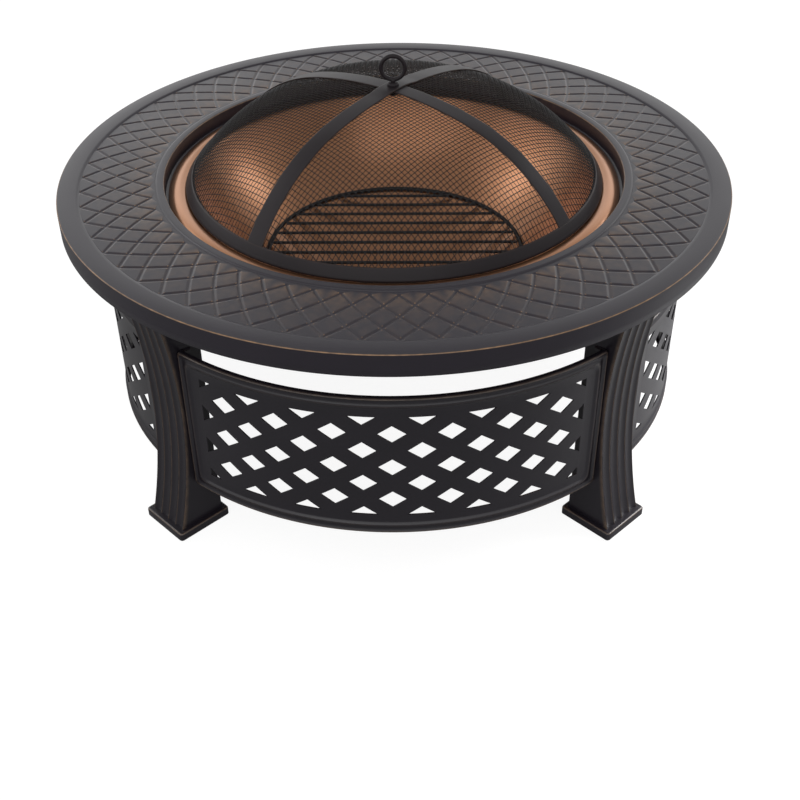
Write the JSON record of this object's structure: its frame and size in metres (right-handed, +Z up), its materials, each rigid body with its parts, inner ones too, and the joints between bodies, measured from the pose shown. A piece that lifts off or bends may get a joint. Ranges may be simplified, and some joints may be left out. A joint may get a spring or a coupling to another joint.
{
  "type": "fire pit with grate",
  "caption": "Round fire pit table: pierced steel base on fluted legs, embossed ring, lift-out copper bowl, wire grate and domed mesh screen with a ring handle.",
  "frame": {"origin": "on the floor, below the axis of the table ring", "axes": "+Z up along the axis of the ring and bowl, -Y towards the front, legs on the diagonals of X and Y"},
  "size_m": [0.8119, 0.812, 0.4858],
  "materials": {
    "ring_finish": "satin charcoal with rubbed bronze edges",
    "frame_finish": "satin black with rubbed bronze edges",
    "bowl_copper": "satin copper",
    "grate_black": "matt black heat-proof paint",
    "screen_black": "satin black heat-proof paint",
    "screen_mesh_black": "satin black woven wire",
    "fastener_steel": "zinc plated"
  },
  "bodies": {
    "base": {"table_ring": "ring_finish", "leg_front_right": "frame_finish", "foot_front_right": "frame_finish", "bracket_front_right": "frame_finish", "leg_back_right": "frame_finish", "foot_back_right": "frame_finish", "bracket_back_right": "frame_finish", "leg_back_left": "frame_finish", "foot_back_left": "frame_finish", "bracket_back_left": "frame_finish", "leg_front_left": "frame_finish", "foot_front_left": "frame_finish", "bracket_front_left": "frame_finish", "panel_front": "frame_finish", "panel_right": "frame_finish", "panel_back": "frame_finish", "panel_left": "frame_finish", "panel_bolts": "fastener_steel", "panel_nuts": "fastener_steel", "bracket_bolts": "fastener_steel", "bracket_nuts": "fastener_steel", "ring_studs": "fastener_steel", "ring_nuts": "fastener_steel"},
    "bowl": {"fire_bowl": "bowl_copper"},
    "grate": {"grate_hoop": "grate_black", "grate_bars": "grate_black"},
    "screen": {"screen_mesh": "screen_mesh_black", "screen_rim": "screen_black", "strap_lower": "screen_black", "strap_upper": "screen_black", "handle_ring": "screen_black", "handle_collar": "screen_black", "handle_washer": "screen_black", "handle_nut": "screen_black"}
  },
  "joints": [
    {"name": "bowl_lift", "type": "slide", "parent": "base", "child": "bowl", "axis": [0, 0, 1], "range_m": [0, 0.2]},
    {"name": "grate_lift", "type": "slide", "parent": "bowl", "child": "grate", "axis": [0, 0, 1], "range_m": [0, 0.15]},
    {"name": "screen_lift", "type": "slide", "parent": "bowl", "child": "screen", "axis": [0, 0, 1], "range_m": [0, 0.25]}
  ]
}
